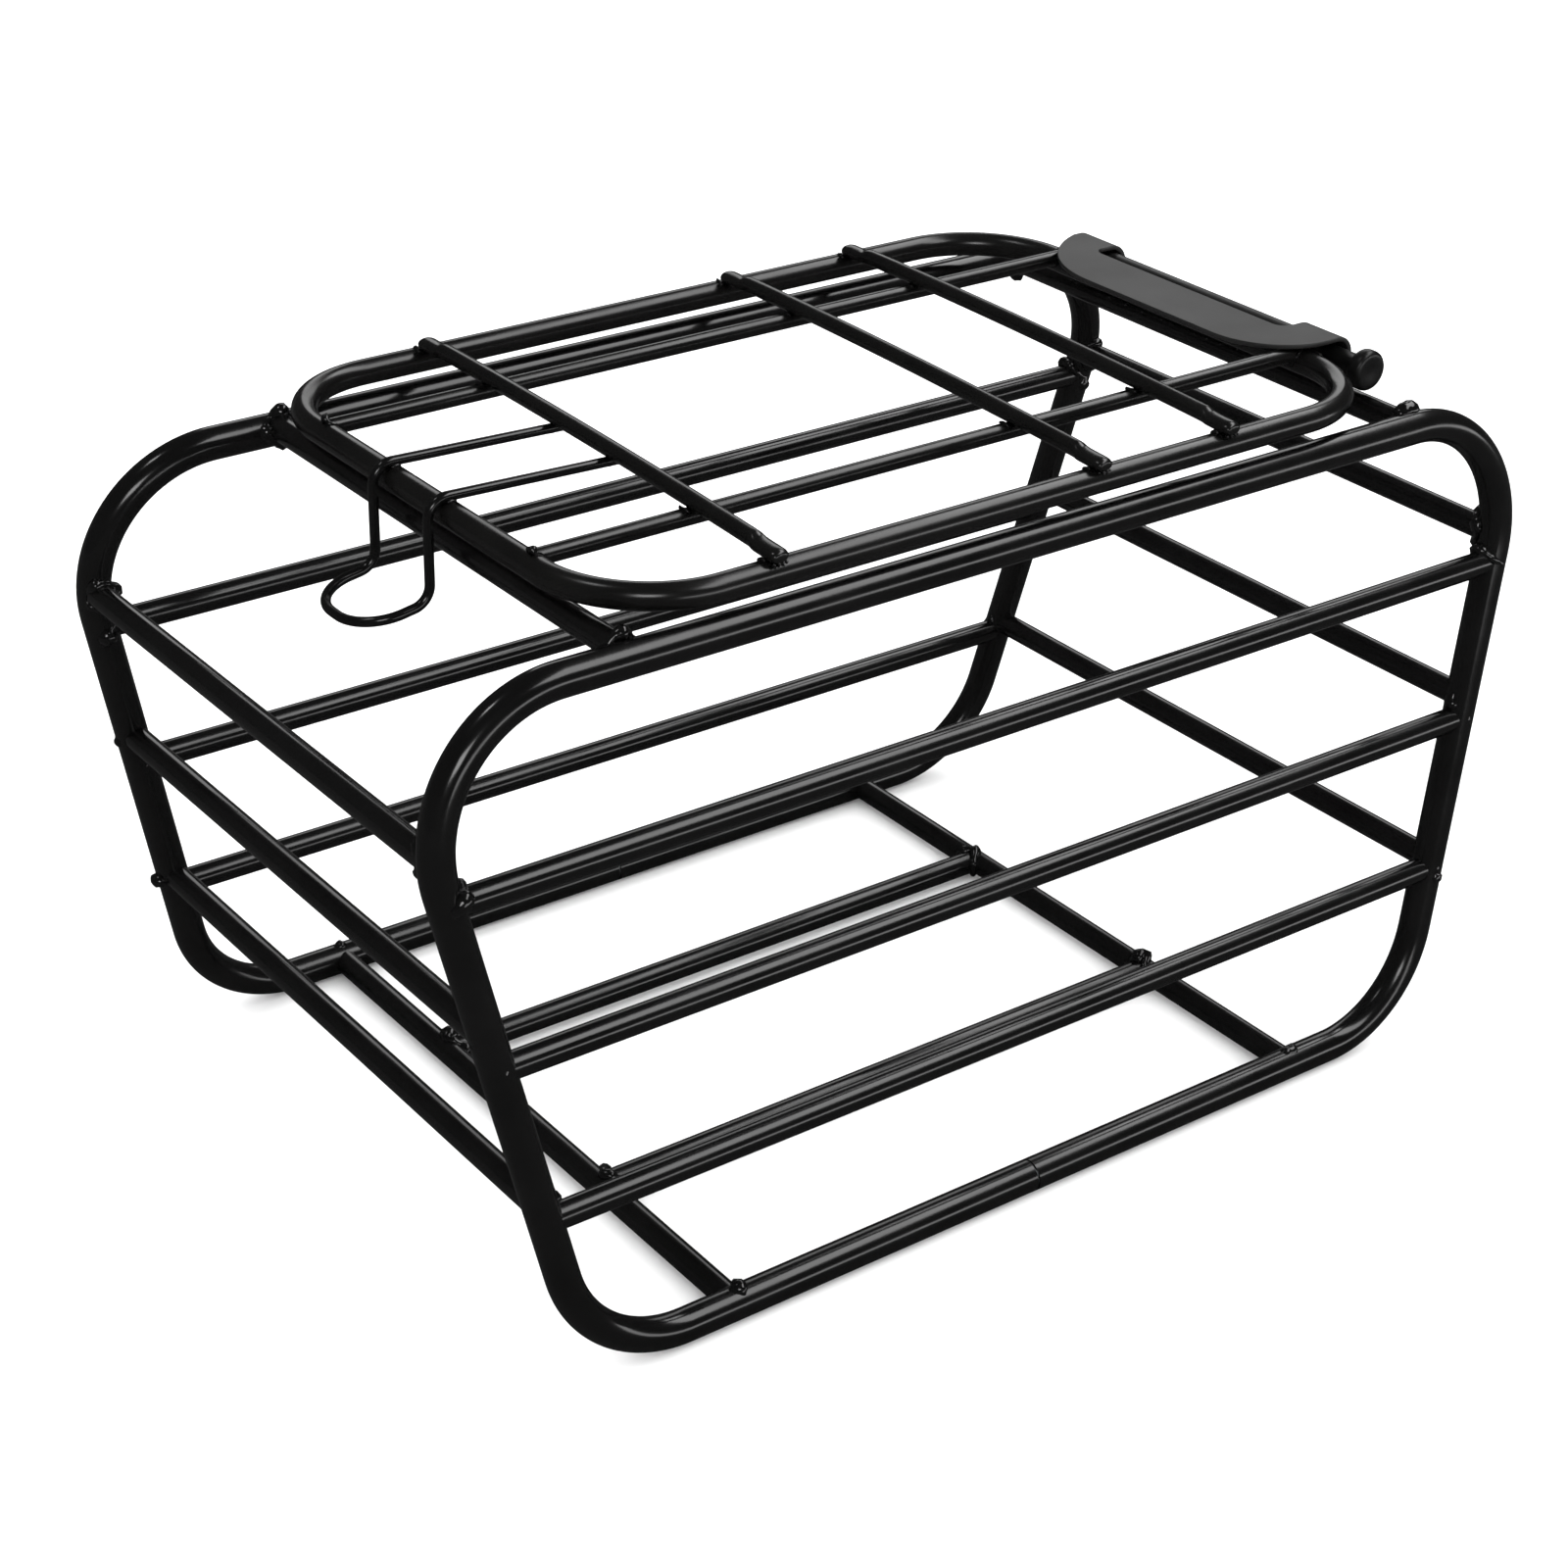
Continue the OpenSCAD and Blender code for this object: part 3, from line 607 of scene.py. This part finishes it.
def bracket():
    """The bracket as it is made: a flat pattern whose two tongues are rolled round the pin."""
    roll_turn = math.radians(292)
    roll = EAR_R * roll_turn
    fillet, depth = 4.0, SHOULDER_DEPTH

    def half(start):
        """Outline from the middle line round one shoulder, which starts so far from the middle."""
        along = EAR_END - start
        radius, turn = (along ** 2 + depth ** 2) / (2 * depth), 2 * math.atan(depth / along)
        made = [(-REACH, 0.0)]
        for k in range(25):
            a = turn * k / 24
            made.append((radius - REACH - radius * math.cos(a), start + radius * math.sin(a)))
        made += [(roll - 1.5, EAR_END), (roll, EAR_END - 1.5), (roll, EAR_IN + 1.5), (roll - 1.5, EAR_IN)]
        for k in range(9):
            a = math.radians(90 + 90 * k / 8)
            made.append((fillet - RECESS + fillet * math.cos(a), EAR_IN - fillet + fillet * math.sin(a)))
        return made + [(-RECESS, 0.0)]

    outline = half(SHOULDER_FAR) + [(u, -v) for u, v in reversed(half(SHOULDER_NEAR)[1:-1])]
    mesh = bpy.data.meshes.new("hinge_bracket_sheet")
    shape = bmesh.new()
    face = shape.faces.new([shape.verts.new((u, v, 0)) for u, v in outline])
    if face.normal.z < 0:
        face.normal_flip()
    for k in range(41):                # crease lines across the tongues, where the roll turns
        cut = Vector((roll * k / 40 if k else 0.0, 0, 0))
        bmesh.ops.bisect_plane(shape, geom=shape.verts[:] + shape.edges[:] + shape.faces[:],
                               plane_co=cut, plane_no=(1, 0, 0))
    for v in shape.verts:
        u, y = v.co.x, v.co.y
        a = max(0.0, u) / EAR_R
        radius = EAR_R - 0.02
        v.co = (axle + (Vector((u, y, radius)) if u <= 0
                        else Vector((radius * math.sin(a), y, radius * math.cos(a))))) * MM
    shape.normal_update()
    shape.to_mesh(mesh)
    shape.free()
    mesh.materials.append(sheet_paint)
    made = new_object("hinge_bracket_sheet", mesh)
    wall = made.modifiers.new("sheet", "SOLIDIFY")
    wall.thickness, wall.offset, wall.use_even_offset = (SHEET - 0.04) * MM, -1.0, True
    edge = made.modifiers.new("broken edge", "BEVEL")
    edge.width, edge.segments, edge.limit_method, edge.angle_limit = 0.22 * MM, 2, "ANGLE", math.radians(40)
    finish_piece(made, "lid", "satin_black_sheet", "hinge_bracket", crease=30)
    for face in made.data.polygons:    # the sheet's flats stay flat to the light
        if abs(face.normal.z) > 0.9995:
            face.use_smooth = False


bracket()
for k in range(13):                    # drips of coat along the lower edge of the sheet
    y = -46 + 7.2 * k + chance.uniform(-2.5, 2.5)
    start = SHOULDER_FAR if y > 0 else SHOULDER_NEAR
    sweep = ((EAR_END - start) ** 2 + SHOULDER_DEPTH ** 2) / (2 * SHOULDER_DEPTH)
    past = max(0.0, abs(y) - start)    # how far round the shoulder the drip hangs
    drops["lid"].append((axle + Vector((-REACH + sweep - math.sqrt(sweep ** 2 - past ** 2) + 0.15, y,
                                        EAR_R - SHEET + 0.05)), chance.uniform(0.25, 0.45)))
for s in (-1, 1):                      # weld between the sheet and the loop's end tube
    run = [(Vector((LID_HINGE_X + s * 2.9, y, LID_Z + LID_R - 1.0)), 0.75 + chance.uniform(-0.15, 0.2))
           for y in range(-52, 53, 2)]
    bead_loops["lid"].append((run, False))


# ---------- latch wire ----------

def latch():
    """One bent wire: two legs from under the first cross rod, down past the rim, to a finger tab."""
    root = Vector((LID_CROSS_X["latch"] + LID_ROD_R + 1, 0,
                   LID_CROSS_Z + CROWN_AT_LATCH - LID_ROD_R - WIRE_R + WIRE_SINK))
    slope = (LID_Z + LID_R + WIRE_R - WIRE_SINK - root.z) / (root.x - LID_LATCH_X)
    top_x = LID_LATCH_X - LID_R - LATCH_STAND
    top = Vector((top_x, 0, root.z + (root.x - top_x) * slope))
    foot = Vector((top_x, 0, top.z - LATCH_DROP))
    end = foot + Vector((-TAB_REACH, 0, -TAB_FALL))
    leg = [root, top, foot, end]
    near, far = Vector((0, LATCH_NEAR_Y, 0)), Vector((0, LATCH_FAR_Y, 0))
    path = rounded([p + near for p in leg] + [p + far for p in reversed(leg)], LATCH_BENDS)
    tube("latch_wire_bent", path, WIRE_R, wire_paint, "lid", "gloss_black_wire", "latch_wire", sides=24)
    for y in (near.y, far.y):          # tacks where each leg crosses the loop and the first cross rod
        for s in (-1, 1):
            run = [(Vector((LID_LATCH_X + v, y + s * 1.35, LID_Z + LID_R + 0.25 - 0.12 * v * v)), 0.55)
                   for v in (-1.4, -0.7, 0, 0.7, 1.4)]
            bead_loops["lid"].append((run, False))
        drops["lid"].append((Vector((LID_CROSS_X["latch"] - 0.6, y, LID_CROSS_Z - 2.9)), 1.2))


latch()
for body, slot in (("basket", "gloss_black_tube"), ("lid", "satin_black_tube")):
    build_welds(body, slot)

# pieces carried over as they are: they get their finish here
for name in ("near_seam_spigot", "far_seam_spigot", "pin_clip"):
    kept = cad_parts[name]
    for made in kept if isinstance(kept, (list, tuple)) else [kept]:
        made.data.materials.clear()
        made.data.materials.append(zinc)


# ---------- floor, light and camera ----------

def floor_paper(name):
    """Seamless white background paper, matt; dimmer in reflections, so that the black coat stays black."""
    made = bpy.data.materials.new(name)
    made.use_nodes = True
    tree = made.node_tree
    tree.nodes.clear()
    paper = add(tree, "ShaderNodeBsdfDiffuse", {"Color": linear("#f4f4f4")}).outputs["BSDF"]
    dim = add(tree, "ShaderNodeBsdfDiffuse", {"Color": linear("#353535")}).outputs["BSDF"]
    seen = add(tree, "ShaderNodeLightPath").outputs["Is Glossy Ray"]
    mix = add(tree, "ShaderNodeMixShader", {"Fac": seen, 1: paper, 2: dim})
    add(tree, "ShaderNodeOutputMaterial", {"Surface": mix.outputs["Shader"]})
    return made


floor_mesh = bpy.data.meshes.new("floor")
floor_mesh.from_pydata([(-40, -40, 0), (40, -40, 0), (40, 40, 0), (-40, 40, 0)], [], [(0, 1, 2, 3)])
floor_mesh.materials.append(floor_paper("white background paper"))
floor = new_object("floor", floor_mesh)

world = bpy.data.worlds.new("studio")
bpy.context.scene.world = world
world.use_nodes = True
world.node_tree.nodes.clear()
sky = world.node_tree
# the room is bright for the paper and nearly dark in the coat's reflections
glossy = add(sky, "ShaderNodeLightPath").outputs["Is Glossy Ray"]
room = add(sky, "ShaderNodeMix", {"Factor": glossy, "A": (1, 1, 1, 1), "B": (0.022, 0.022, 0.022, 1)},
           data_type="RGBA")
walls = add(sky, "ShaderNodeBackground", {"Color": room.outputs["Result"], "Strength": 2.1})
add(sky, "ShaderNodeOutputWorld", {"Surface": walls.outputs["Background"]})


def softbox(name, place, aim, width, height, radiance):
    """A soft box seen only in the coat's reflections, so that the floor keeps its even tone."""
    data = bpy.data.lights.new(name, "AREA")
    data.shape, data.size, data.size_y = "RECTANGLE", width, height
    data.energy = radiance * math.pi * width * height
    made = bpy.data.objects.new(name, data)
    bpy.context.scene.collection.objects.link(made)
    made.location = place
    made.rotation_euler = (Vector(aim) - Vector(place)).to_track_quat("-Z", "Y").to_euler()
    made.visible_diffuse = False
    return made


softbox("top box", (1.05, -0.43, 1.75), (0, 0, 0.1), 2.6, 0.62, 4.6)
softbox("front box", (1.0, -1.9, 0.2), (0, 0, 0.2), 3.2, 0.36, 3.4)
softbox("back box", (1.7, 2.1, 1.35), (0, 0, 0.1), 2.0, 0.9, 1.6)
softbox("camera box", (-1.5, -2.1, 1.5), (0, 0, 0.2), 0.9, 0.7, 7.0)
softbox("window", (-0.9, 0.5, 2.4), (0, 0, 0.1), 0.35, 0.35, 9.0)

lens = bpy.data.cameras.new("camera")
camera = bpy.data.objects.new("camera", lens)
bpy.context.scene.collection.objects.link(camera)
bpy.context.scene.camera = camera
camera.location = (-0.51812, -0.66804, 0.54257)
camera.rotation_euler = [math.radians(v) for v in (61.3811, -1.0749, -35.9900)]
lens.sensor_width = 36
lens.lens = 70.9515
lens.shift_x, lens.shift_y = 0.01964, 0.01012
lens.clip_start, lens.clip_end = 0.05, 200
bpy.context.scene.view_settings.view_transform = "Standard"
